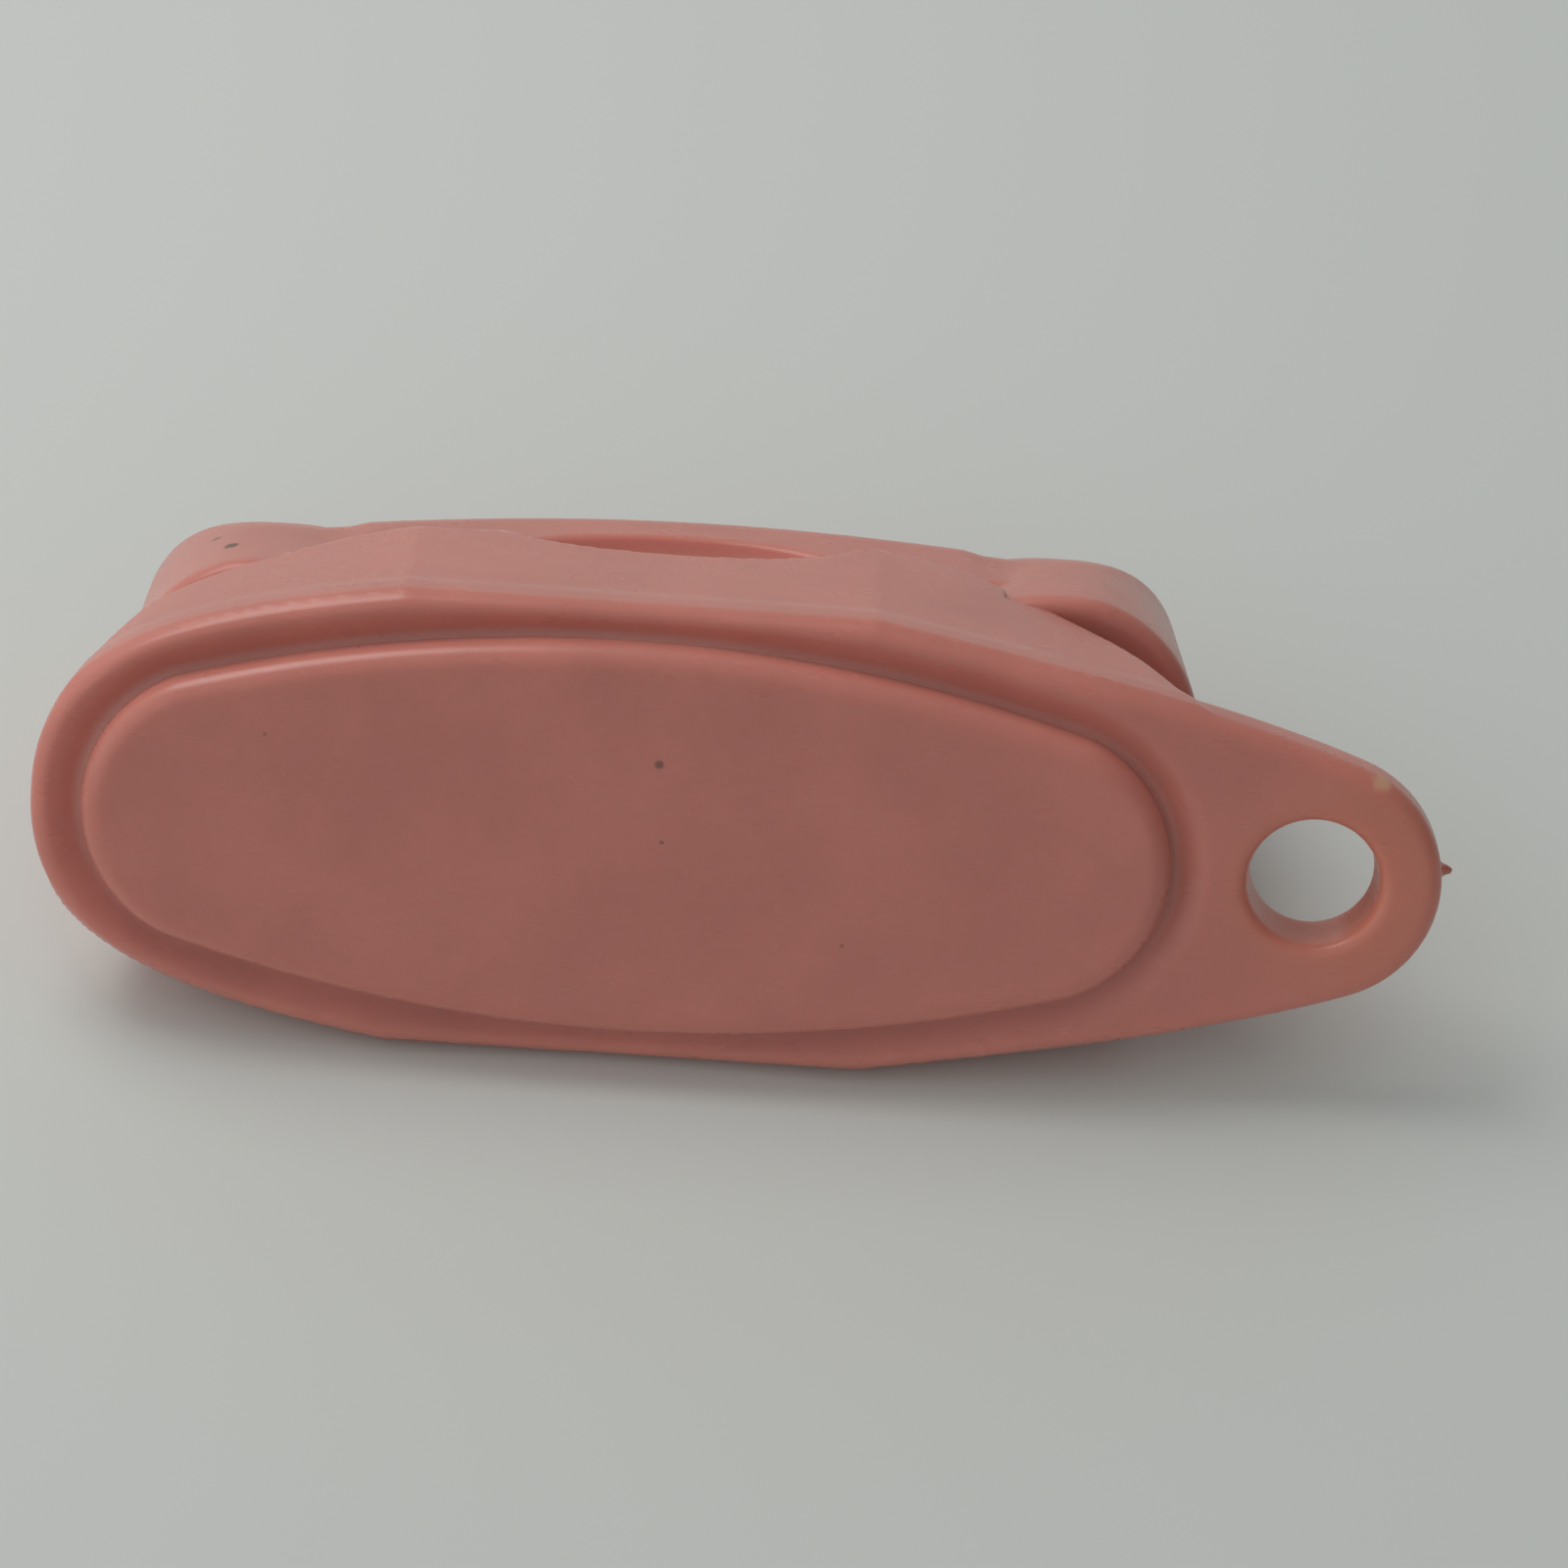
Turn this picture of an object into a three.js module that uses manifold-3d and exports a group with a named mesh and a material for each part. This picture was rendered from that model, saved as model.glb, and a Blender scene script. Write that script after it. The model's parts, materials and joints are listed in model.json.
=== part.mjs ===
// A key fob moulded in coloured plastic as a miniature bedside telephone.
// A hollow housing stands on an oval rim that runs out into a key-ring tab. An oval plate closes its
// underside, a handset lies across the top, and a finger wheel sits on the sloping front.
//
// Each piece is built with the telephone standing upright: +X towards the key-ring tab, +Y towards the
// dial, +Z up through the handset, and Z = 0 on the underside of the rim. The finished telephone is then
// laid on its dial side, resting on the rim and the handset, because that is how the fob lies when it is
// put down. The origin ends up at the bottom centre of the whole fob. Millimetres.
import * as THREE from "three";
import { mergeVertices } from "three/addons/utils/BufferGeometryUtils.js";
import Module from "manifold-3d";

const wasm = await Module();
wasm.setup();

// Rim and key-ring tab
const RIM_HALF_WIDTH = 8.2;
const RIM_FLAT = 8.0; // half the length of the straight side
const RIM_END = 20.45;
const RIM_THICKNESS = 2.5;
const RIM_UNDER_ROUND = 0.6;
const RIM_UPPER_ROUND = 1.1;
const RIM_STEEPNESS = 0.16; // slope at which the long sides leave the straight stretch
const RIM_PULL_SIDE = 8.2; // reach of the side's control point
const RIM_PULL_END = 5.2; // reach of the end's control point
const TAB_HOLE_X = 23.5;
const TAB_HOLE_RADIUS = 2.3;
const TAB_END_RADIUS = 4.45;
const TAB_TANGENT = THREE.MathUtils.degToRad(69); // where the tab's side meets its round end
const TAB_STEEPNESS = 0.19;
const TAB_PULL = 5.0;
const NIB = { x: 27.95, y: -0.45, z: 1.25 }; // broken moulding gate on the tab's end
const NIB_RADIUS = 0.35;

// Housing above the rim
const REAR_DRAFT = 0.03; // inward lean of the rear wall, per millimetre of height
const FRONT_FOOT = { y: 7.4, z: 2.2 }; // where the dial slope starts
const FRONT_TOP = { y: 2.2, z: 8.2 }; // where the dial slope meets the deck
const DECK_LEFT = { x: -9.2, z: 8.15 };
const DECK_RIGHT = { x: 11.0, z: 9.45 };
const SHOULDER = { x: 17.0, z: 4.85 };
const SKIRT = { x: 18.9, z: 1.6 };
const WALL = 1.4;
const HOLLOW_TOP = 6.2; // height of the hollow under the deck
const HOLLOW_SHELF = 3.8; // and under the pockets of the handset's caps
const HOLLOW_DECK_END = 7.0; // where the higher part ends, to either side
const HOLLOW_LEDGE = 1.0; // width of the ledge the underside plate rests on

// Underside plate
const PLATE_HALF_WIDTH = 7.0;
const PLATE_END = 18.6;
const PLATE_END_RADIUS = 5.05;
const PLATE_PROUD = 0.8; // how far it stands below the rim
const PLATE_DEPTH = 1.2; // how far it reaches into the rim
const FIT_GAP = 0.3;
const PLATE_SIDE_GAP = 0.2;

// Handset, in its own frame: Z = 0 at the lips of the two end caps
const CAP_SPACING = 13.6; // from the middle to each cap's axis
const CAP_RADIUS = 5.27;
const CAP_DRAFT = 0.055; // inward lean of the caps' sides, per millimetre of height
const CAP_HEIGHT = 8.1;
const CAP_VAULT_ROUND = 3.5; // rounding along the front and rear of the caps' tops
const CUP_RADIUS = 3.9;
const CUP_DEPTH = 1.2;
const HANDSET_X = 0.78;
const HANDSET_BACK = 1.87; // the handset sits this far behind the middle
const HANDSET_Z = 6.75;
const HANDSET_TILT = THREE.MathUtils.degToRad(1.74); // the tab end stands a little higher
const HANDSET_YAW = THREE.MathUtils.degToRad(0.83); // and a little further back
const GRIP_REAR = 5.15; // from the caps' axis plane to the grip's rear face
const GRIP_FRONT = 4.2;
const GRIP_BOW = 0.3; // how much less both are at the caps
const GRIP_BOTTOM = 2.3;
const GRIP_TOP = 8.1;
const GRIP_SAG = 1.5; // how much lower the grip's back is at the caps
const GRIP_ROUND = 1.7;
const GRIP_END_ROUND = 2.8; // rounding of the grip's back at the caps

// Finger recess under the grip, at the rear; the grip has its like at the front
const RECESS_CENTRE = { x: 0.9, y: -7.6, z: 9.3 };
const RECESS_RADII = { x: 6.3, y: 2.4, z: 2.5 };

// Round perforated discs in the cups of the caps
const DISC_RADIUS = CUP_RADIUS - FIT_GAP;
const DISC_THICKNESS = 0.8;

// Dial, square to the slope, each layer lying on the one before
const DIAL_CENTRE = { x: 0.3, y: 4.55, z: 5.5 };
const DIAL_SEAT_RADIUS = 3.5;
const DIAL_SEAT_DEPTH = 1.2;
const DIAL_BACKING = 0.8; // plastic left behind the seat
const DIAL_PLATE_RADIUS = 3.2;
const DIAL_PLATE_THICKNESS = 0.4;
const WHEEL_RADIUS = 3.1;
const WHEEL_THICKNESS = 0.6;
const WHEEL_LIFT = 0.3;
const FINGER_HOLES = 10;
const FINGER_HOLE_RADIUS = 0.42;
const FINGER_HOLE_CIRCLE = 2.35;
const FINGER_HOLE_STEP = THREE.MathUtils.degToRad(29);
const FINGER_HOLE_START = THREE.MathUtils.degToRad(-22);
const HUB_RADIUS = 1.25;
const HUB_THICKNESS = 0.45;

const CURVE_STEPS = 12;
const ROUND_STEPS = 32;
const ARC_STEPS = 8;
const CLEAR = 0.02; // keeps cutting faces off the faces they would only touch

const housingPlastic = new THREE.MeshStandardMaterial({ color: 0xd08378, roughness: 0.38, metalness: 0 });
const handsetPlastic = new THREE.MeshStandardMaterial({ color: 0xd2857a, roughness: 0.36, metalness: 0 });
const dialPlastic = new THREE.MeshStandardMaterial({ color: 0xcf8076, roughness: 0.4, metalness: 0 });

// ---- joining and cutting ----

function solid(geometry) {
  const bare = new THREE.BufferGeometry();
  bare.setAttribute("position", geometry.getAttribute("position"));
  bare.setIndex(geometry.index);
  const merged = mergeVertices(bare, 1e-4);
  const mesh = new wasm.Mesh({
    numProp: 3,
    vertProperties: new Float32Array(merged.attributes.position.array),
    triVerts: new Uint32Array(merged.index.array),
  });
  return new wasm.Manifold(mesh);
}

function meshOf(name, body, material) {
  const data = body.getMesh();
  const geometry = new THREE.BufferGeometry();
  geometry.setAttribute("position", new THREE.BufferAttribute(new Float32Array(data.vertProperties), 3));
  geometry.setIndex(new THREE.BufferAttribute(new Uint32Array(data.triVerts), 1));
  geometry.computeVertexNormals();
  const mesh = new THREE.Mesh(geometry, material);
  mesh.name = name;
  return mesh;
}

// ---- building blocks ----

const X_AXIS = new THREE.Vector3(1, 0, 0);
const Y_AXIS = new THREE.Vector3(0, 1, 0);
const Z_AXIS = new THREE.Vector3(0, 0, 1);

function slab(shape, bottom, top) {
  const geometry = new THREE.ExtrudeGeometry(shape, {
    depth: top - bottom,
    bevelEnabled: false,
    curveSegments: CURVE_STEPS,
  });
  return solid(geometry.translate(0, 0, bottom));
}

function roundedSlab(shape, bottom, top, round) {
  const geometry = new THREE.ExtrudeGeometry(shape, {
    depth: top - bottom - 2 * round,
    bevelSize: round,
    bevelOffset: -round,
    bevelThickness: round,
    bevelSegments: 3,
    curveSegments: CURVE_STEPS,
  });
  return solid(geometry.translate(0, 0, bottom + round));
}

// A section drawn in Y and Z, run along X.
function alongX(points, from, to) {
  const shape = new THREE.Shape(points.map(({ y, z }) => new THREE.Vector2(y, z)));
  const geometry = new THREE.ExtrudeGeometry(shape, { depth: to - from, bevelEnabled: false });
  geometry.translate(0, 0, from);
  geometry.applyMatrix4(new THREE.Matrix4().makeBasis(Y_AXIS, Z_AXIS, X_AXIS));
  return solid(geometry);
}

// A side view drawn in X and Z, run along Y.
function alongY(points, halfWidth) {
  const shape = new THREE.Shape(points.map(({ x, z }) => new THREE.Vector2(x, z)));
  const geometry = new THREE.ExtrudeGeometry(shape, { depth: 2 * halfWidth, bevelEnabled: false });
  geometry.translate(0, 0, -halfWidth);
  geometry.applyMatrix4(new THREE.Matrix4().makeBasis(X_AXIS, Z_AXIS, Y_AXIS.clone().negate()));
  return solid(geometry);
}

// A profile of [radius, height] pairs turned about Z.
function turned(profile) {
  const points = profile.map(([radius, height]) => new THREE.Vector2(radius, height));
  const geometry = new THREE.LatheGeometry(points, ROUND_STEPS);
  return solid(geometry.rotateX(Math.PI / 2));
}

// A solid through rings of equally many points along X, closed by flat ends.
function lofted(rings) {
  const count = rings[0].length;
  const last = (rings.length - 1) * count;
  const index = [];
  for (let start = 0; start < last; start += count) {
    for (let j = 0; j < count; j += 1) {
      const here = start + j;
      const next = start + ((j + 1) % count);
      index.push(here, next, next + count, here, next + count, here + count);
    }
  }
  for (let j = 1; j < count - 1; j += 1) {
    index.push(0, j + 1, j, last, last + j, last + j + 1);
  }
  const geometry = new THREE.BufferGeometry().setFromPoints(rings.flat());
  geometry.setIndex(index);
  return solid(geometry);
}

// A section in Y and Z with upright or leaning sides and a rounded top, drawn anticlockwise.
function roundedTop(halfBelow, halfAbove, bottom, top, round) {
  const points = [
    { y: -halfBelow, z: bottom },
    { y: halfBelow, z: bottom },
  ];
  for (const side of [1, -1]) {
    for (let i = 0; i <= ARC_STEPS; i += 1) {
      const turn = ((side === 1 ? i : ARC_STEPS - i) / ARC_STEPS) * (Math.PI / 2);
      points.push({
        y: side * (halfAbove - round + round * Math.cos(turn)),
        z: top - round + round * Math.sin(turn),
      });
    }
  }
  return points;
}

function disc(radius, bottom, top) {
  const profile = [
    [0, bottom],
    [radius, bottom],
    [radius, top],
    [0, top],
  ];
  return turned(profile);
}

// A slab whose lower and upper edges are rounded differently.
function mouldedSlab(shape, bottom, top, underRound, upperRound) {
  const below = roundedSlab(shape, bottom, top + 2 * underRound, underRound);
  const above = roundedSlab(shape, bottom - 2 * upperRound, top, upperRound);
  return below.intersect(above);
}

// ---- outlines ----

// An oval with straight sides, drawn anticlockwise: the rim without its tab.
function oval(halfWidth, end) {
  const pullSide = RIM_PULL_SIDE * ((end - RIM_FLAT) / (RIM_END - RIM_FLAT));
  const pullEnd = RIM_PULL_END * (halfWidth / RIM_HALF_WIDTH);
  const sideX = RIM_FLAT + pullSide;
  const sideY = halfWidth - pullSide * RIM_STEEPNESS;
  const shape = new THREE.Shape();
  shape.moveTo(RIM_FLAT, -halfWidth);
  shape.bezierCurveTo(sideX, -sideY, end, -pullEnd, end, 0);
  shape.bezierCurveTo(end, pullEnd, sideX, sideY, RIM_FLAT, halfWidth);
  shape.lineTo(-RIM_FLAT, halfWidth);
  shape.bezierCurveTo(-sideX, sideY, -end, pullEnd, -end, 0);
  shape.bezierCurveTo(-end, -pullEnd, -sideX, -sideY, -RIM_FLAT, -halfWidth);
  return shape;
}

// The rim with its tab: the sides run on to the round end about the key-ring hole.
function rimWithTab() {
  const sideX = RIM_FLAT + RIM_PULL_SIDE;
  const sideY = RIM_HALF_WIDTH - RIM_PULL_SIDE * RIM_STEEPNESS;
  const tabSideX = RIM_FLAT + TAB_PULL;
  const tabSideY = RIM_HALF_WIDTH - TAB_PULL * TAB_STEEPNESS;
  const joinX = TAB_HOLE_X + TAB_END_RADIUS * Math.cos(TAB_TANGENT);
  const joinY = TAB_END_RADIUS * Math.sin(TAB_TANGENT);
  const joinSideX = joinX - TAB_PULL * Math.sin(TAB_TANGENT);
  const joinSideY = joinY + TAB_PULL * Math.cos(TAB_TANGENT);
  const shape = new THREE.Shape();
  shape.moveTo(RIM_FLAT, -RIM_HALF_WIDTH);
  shape.bezierCurveTo(tabSideX, -tabSideY, joinSideX, -joinSideY, joinX, -joinY);
  shape.absarc(TAB_HOLE_X, 0, TAB_END_RADIUS, -TAB_TANGENT, TAB_TANGENT, false);
  shape.bezierCurveTo(joinSideX, joinSideY, tabSideX, tabSideY, RIM_FLAT, RIM_HALF_WIDTH);
  shape.lineTo(-RIM_FLAT, RIM_HALF_WIDTH);
  shape.bezierCurveTo(-sideX, sideY, -RIM_END, RIM_PULL_END, -RIM_END, 0);
  shape.bezierCurveTo(-RIM_END, -RIM_PULL_END, -sideX, -sideY, -RIM_FLAT, -RIM_HALF_WIDTH);
  return shape;
}

// Two long arcs and two end arcs: the outline of the underside plate, grown by a margin.
function plateOutline(margin) {
  const endCentre = PLATE_END - PLATE_END_RADIUS;
  const endRadius = PLATE_END_RADIUS + margin;
  const halfWidth = PLATE_HALF_WIDTH + margin;
  const meet = THREE.MathUtils.degToRad(66);
  const meetX = endCentre + endRadius * Math.cos(meet);
  const meetY = endRadius * Math.sin(meet);
  const rise = halfWidth - meetY;
  const sideRadius = (meetX * meetX + rise * rise) / (2 * rise);
  const half = Math.asin(meetX / sideRadius);
  const quarter = Math.PI / 2;
  const shape = new THREE.Shape();
  shape.absarc(endCentre, 0, endRadius, -meet, meet, false);
  shape.absarc(0, halfWidth - sideRadius, sideRadius, quarter - half, quarter + half, false);
  shape.absarc(-endCentre, 0, endRadius, Math.PI - meet, Math.PI + meet, false);
  shape.absarc(0, sideRadius - halfWidth, sideRadius, -quarter - half, -quarter + half, false);
  return shape;
}

// ---- placing what belongs to the handset and the dial ----

const handsetPlace = new THREE.Matrix4().compose(
  new THREE.Vector3(HANDSET_X, -HANDSET_BACK, HANDSET_Z),
  new THREE.Quaternion().setFromEuler(new THREE.Euler(0, -HANDSET_TILT, -HANDSET_YAW, "ZYX")),
  new THREE.Vector3(1, 1, 1),
);

const slopeAngle = Math.atan2(FRONT_TOP.z - FRONT_FOOT.z, FRONT_FOOT.y - FRONT_TOP.y);
const dialPlace = new THREE.Matrix4().compose(
  new THREE.Vector3(DIAL_CENTRE.x, DIAL_CENTRE.y, DIAL_CENTRE.z),
  new THREE.Quaternion().setFromAxisAngle(X_AXIS, -slopeAngle),
  new THREE.Vector3(1, 1, 1),
);

const placed = (body, matrix) => body.transform(matrix.elements);

// ---- pieces ----

function fingerRecess() {
  const ball = new THREE.SphereGeometry(1, ROUND_STEPS, ROUND_STEPS / 2);
  ball.scale(RECESS_RADII.x, RECESS_RADII.y, RECESS_RADII.z);
  return solid(ball.translate(RECESS_CENTRE.x, RECESS_CENTRE.y, RECESS_CENTRE.z));
}

function housingBlock() {
  const height = DECK_RIGHT.z + 1;
  const plan = slab(rimWithTab(), RIM_UNDER_ROUND, height);
  const section = alongX(
    [
      { y: -RIM_HALF_WIDTH, z: 0 },
      { y: FRONT_FOOT.y, z: 0 },
      FRONT_FOOT,
      FRONT_TOP,
      { y: FRONT_TOP.y, z: height },
      { y: -RIM_HALF_WIDTH + REAR_DRAFT * height, z: height },
    ],
    -RIM_END - 1,
    RIM_END + 1,
  );
  const sideView = alongY(
    [
      { x: -RIM_END, z: 0 },
      { x: RIM_END, z: 0 },
      { x: SKIRT.x, z: SKIRT.z },
      { x: SHOULDER.x, z: SHOULDER.z },
      DECK_RIGHT,
      DECK_LEFT,
      { x: -SHOULDER.x, z: SHOULDER.z },
      { x: -SKIRT.x, z: SKIRT.z },
    ],
    RIM_HALF_WIDTH + 1,
  );
  return plan.intersect(section).intersect(sideView);
}

// The hollow inside, a wall's thickness in from the block, open at the underside.
function housingHollow() {
  const rear = -RIM_HALF_WIDTH + WALL + RIM_UNDER_ROUND;
  const inset = (DIAL_SEAT_DEPTH + DIAL_BACKING) / Math.sin(slopeAngle);
  const slopeFoot = FRONT_FOOT.y - inset;
  const slopeTop = slopeFoot - (HOLLOW_TOP - FRONT_FOOT.z) / Math.tan(slopeAngle);
  const end = SHOULDER.x - WALL;
  const section = alongX(
    [
      { y: rear, z: 0 },
      { y: slopeFoot, z: 0 },
      { y: slopeFoot, z: FRONT_FOOT.z },
      { y: slopeTop, z: HOLLOW_TOP },
      { y: rear, z: HOLLOW_TOP },
    ],
    -RIM_END,
    RIM_END,
  );
  const sideView = alongY(
    [
      { x: -end, z: 0 },
      { x: end, z: 0 },
      { x: end, z: SKIRT.z },
      { x: HOLLOW_DECK_END + WALL, z: HOLLOW_SHELF },
      { x: HOLLOW_DECK_END, z: HOLLOW_TOP },
      { x: -HOLLOW_DECK_END, z: HOLLOW_TOP },
      { x: -HOLLOW_DECK_END - WALL, z: HOLLOW_SHELF },
      { x: -end, z: SKIRT.z },
    ],
    RIM_HALF_WIDTH,
  );
  const plan = slab(oval(PLATE_HALF_WIDTH - HOLLOW_LEDGE, PLATE_END - HOLLOW_LEDGE), 0, HOLLOW_TOP);
  return section.intersect(sideView).intersect(plan);
}

function makeHousing() {
  const rim = mouldedSlab(rimWithTab(), 0, RIM_THICKNESS, RIM_UNDER_ROUND, RIM_UPPER_ROUND);
  const keyHole = disc(TAB_HOLE_RADIUS, -1, RIM_THICKNESS + 1);
  const keyHolePlace = new THREE.Matrix4().makeTranslation(TAB_HOLE_X, 0, 0);
  const plateSeat = slab(plateOutline(PLATE_SIDE_GAP), -1, PLATE_DEPTH + FIT_GAP);
  const dialSeat = placed(disc(DIAL_SEAT_RADIUS, -DIAL_SEAT_DEPTH, 2), dialPlace);
  const nib = solid(new THREE.SphereGeometry(NIB_RADIUS, CURVE_STEPS, CURVE_STEPS / 2));
  let body = rim.add(housingBlock()).add(nib.translate([NIB.x, NIB.y, NIB.z]));
  body = body.subtract(placed(keyHole, keyHolePlace));
  body = body.subtract(housingHollow());
  body = body.subtract(plateSeat);
  body = body.subtract(fingerRecess());
  body = body.subtract(dialSeat);
  for (const side of [-1, 1]) {
    const pocket = disc(CAP_RADIUS + FIT_GAP, -FIT_GAP, CAP_HEIGHT);
    const place = handsetPlace.clone().multiply(
      new THREE.Matrix4().makeTranslation(side * CAP_SPACING, 0, 0),
    );
    body = body.subtract(placed(pocket, place));
  }
  const gripRoom = placed(gripBlock(FIT_GAP), handsetPlace);
  body = body.subtract(gripRoom);
  return meshOf("housing", body, housingPlastic);
}

function makeBasePlate() {
  const panel = roundedSlab(plateOutline(0), -PLATE_PROUD, PLATE_DEPTH, 0.35);
  return meshOf("base_plate", panel, housingPlastic);
}

// The grip between the caps: a bar with an arched back and bowed sides, grown all round by a margin.
function gripBlock(margin) {
  const steps = 16;
  const shift = (GRIP_FRONT - GRIP_REAR) / 2;
  const rings = [];
  for (let i = 0; i <= steps; i += 1) {
    const along = (2 * i) / steps - 1;
    const bend = along * along;
    const half = (GRIP_REAR + GRIP_FRONT) / 2 - GRIP_BOW * bend + margin;
    const top = GRIP_TOP - GRIP_SAG * bend + margin;
    const round = GRIP_ROUND + (GRIP_END_ROUND - GRIP_ROUND) * bend;
    const section = roundedTop(half, half, GRIP_BOTTOM - margin, top, round);
    rings.push(section.map(({ y, z }) => new THREE.Vector3(along * CAP_SPACING, y + shift, z)));
  }
  return lofted(rings);
}

// A cap: a round block with leaning sides, its top rounded off along the front and the rear.
function handsetCap() {
  const topRadius = CAP_RADIUS - CAP_DRAFT * CAP_HEIGHT;
  const topHalf = CAP_RADIUS - CAP_DRAFT * (CAP_HEIGHT - CAP_VAULT_ROUND);
  const block = turned([
    [0, CUP_DEPTH],
    [CUP_RADIUS, CUP_DEPTH],
    [CUP_RADIUS, 0],
    [CAP_RADIUS, 0],
    [topRadius, CAP_HEIGHT + 1],
    [0, CAP_HEIGHT + 1],
  ]);
  const vault = roundedTop(CAP_RADIUS + CLEAR, topHalf + CLEAR, -1, CAP_HEIGHT, CAP_VAULT_ROUND);
  return block.intersect(alongX(vault, -CAP_RADIUS - 1, CAP_RADIUS + 1));
}

function makeHandset() {
  let body = gripBlock(0);
  for (const side of [-1, 1]) {
    body = body.add(handsetCap().translate([side * CAP_SPACING, 0, 0]));
  }
  body = placed(body, handsetPlace).subtract(fingerRecess());
  return meshOf("handset", body, handsetPlastic);
}

function makeCapDisc(name, side) {
  const face = disc(DISC_RADIUS, CUP_DEPTH - FIT_GAP - DISC_THICKNESS, CUP_DEPTH - FIT_GAP);
  const body = placed(face.translate([side * CAP_SPACING, 0, 0]), handsetPlace);
  return meshOf(name, body, handsetPlastic);
}

// The dial's layers, each from the slope outwards.
const dialPlateBottom = -DIAL_SEAT_DEPTH + FIT_GAP;
const dialPlateTop = dialPlateBottom + DIAL_PLATE_THICKNESS;
const wheelBottom = dialPlateTop + WHEEL_LIFT;
const wheelTop = wheelBottom + WHEEL_THICKNESS;

function makeDialPlate() {
  const body = placed(disc(DIAL_PLATE_RADIUS, dialPlateBottom, dialPlateTop), dialPlace);
  return meshOf("dial_plate", body, dialPlastic);
}

function makeDialWheel() {
  let wheel = disc(WHEEL_RADIUS, wheelBottom, wheelTop);
  for (let i = 0; i < FINGER_HOLES; i += 1) {
    const angle = FINGER_HOLE_START + i * FINGER_HOLE_STEP;
    const x = FINGER_HOLE_CIRCLE * Math.cos(angle);
    const y = FINGER_HOLE_CIRCLE * Math.sin(angle);
    const hole = new THREE.CylinderGeometry(FINGER_HOLE_RADIUS, FINGER_HOLE_RADIUS, 4, 16);
    hole.rotateX(Math.PI / 2);
    wheel = wheel.subtract(solid(hole.translate(x, y, wheelBottom)));
  }
  return meshOf("dial_wheel", placed(wheel, dialPlace), dialPlastic);
}

function makeDialCentre() {
  const bottom = wheelTop + FIT_GAP;
  const body = placed(disc(HUB_RADIUS, bottom, bottom + HUB_THICKNESS), dialPlace);
  return meshOf("dial_centre", body, dialPlastic);
}

// ---- the whole fob ----

const telephone = new THREE.Group();
telephone.add(makeHousing());
telephone.add(makeBasePlate());
telephone.add(makeHandset());
telephone.add(makeCapDisc("earpiece_disc", -1));
telephone.add(makeCapDisc("mouthpiece_disc", 1));
telephone.add(makeDialPlate());
telephone.add(makeDialWheel());
telephone.add(makeDialCentre());

// Laid on its dial side. The floor touches the rim and the handset, so the floor's normal leans from Y
// towards Z until it reaches both equally far.
function restingLean(rimPiece, handsetPiece) {
  const reach = (piece, turn) => {
    const position = piece.geometry.getAttribute("position");
    let furthest = -Infinity;
    for (let i = 0; i < position.count; i += 1) {
      const height = position.getY(i) * Math.cos(turn) + position.getZ(i) * Math.sin(turn);
      furthest = Math.max(furthest, height);
    }
    return furthest;
  };
  let low = 0;
  let high = Math.PI / 2;
  while (high - low > 1e-9) {
    const middle = (low + high) / 2;
    if (reach(rimPiece, middle) > reach(handsetPiece, middle)) {
      low = middle;
    } else {
      high = middle;
    }
  }
  return low;
}

const [housing, , handset] = telephone.children;
telephone.rotation.x = -(Math.PI / 2 + restingLean(housing, handset));

const part = new THREE.Group();
part.add(telephone);
part.updateMatrixWorld(true);
const box = new THREE.Box3().setFromObject(part, true);
const middle = box.getCenter(new THREE.Vector3());
telephone.position.set(-middle.x, -middle.y, -box.min.z);

export default part;
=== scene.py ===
"""Looks of a pink moulded key fob shaped as a miniature bedside telephone.

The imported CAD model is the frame. Each of its eight nodes is stood for by a detailed piece, modelled here
as a smooth solid: a function that is negative inside the plastic and positive outside, turned into a mesh
of even quads. Shapes are written in the telephone's own axes, in millimetres: +X towards the key-ring tab,
+Y towards the dial, +Z up through the handset, and Z = 0 on the underside of the rim. The record's two
mounts say where those axes lie in the row frame.
"""
import json
import math

import bpy
import numpy as np
from mathutils import Matrix, Vector


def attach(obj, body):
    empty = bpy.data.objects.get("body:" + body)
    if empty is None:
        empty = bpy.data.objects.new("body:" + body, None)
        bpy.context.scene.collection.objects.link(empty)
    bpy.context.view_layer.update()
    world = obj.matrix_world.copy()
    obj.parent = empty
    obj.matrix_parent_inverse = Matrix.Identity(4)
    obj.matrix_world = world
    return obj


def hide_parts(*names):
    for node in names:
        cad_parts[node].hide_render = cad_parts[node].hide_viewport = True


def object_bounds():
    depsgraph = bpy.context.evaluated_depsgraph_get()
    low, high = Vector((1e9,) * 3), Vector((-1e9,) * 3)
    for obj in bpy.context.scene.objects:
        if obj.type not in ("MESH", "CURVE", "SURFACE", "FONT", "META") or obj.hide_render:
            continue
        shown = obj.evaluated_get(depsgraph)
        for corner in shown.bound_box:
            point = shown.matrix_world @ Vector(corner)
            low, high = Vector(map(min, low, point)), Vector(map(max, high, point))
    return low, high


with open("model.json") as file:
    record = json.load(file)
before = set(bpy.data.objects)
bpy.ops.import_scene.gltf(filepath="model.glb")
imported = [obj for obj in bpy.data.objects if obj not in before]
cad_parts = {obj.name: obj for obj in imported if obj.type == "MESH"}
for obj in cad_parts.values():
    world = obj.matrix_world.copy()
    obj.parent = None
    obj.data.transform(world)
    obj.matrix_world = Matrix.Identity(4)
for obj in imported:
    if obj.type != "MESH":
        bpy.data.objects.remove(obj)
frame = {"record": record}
cad_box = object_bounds()

MM = 0.001
BODY = "root"

# ---- driving sizes, in millimetres, as in the CAD model ----

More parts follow.
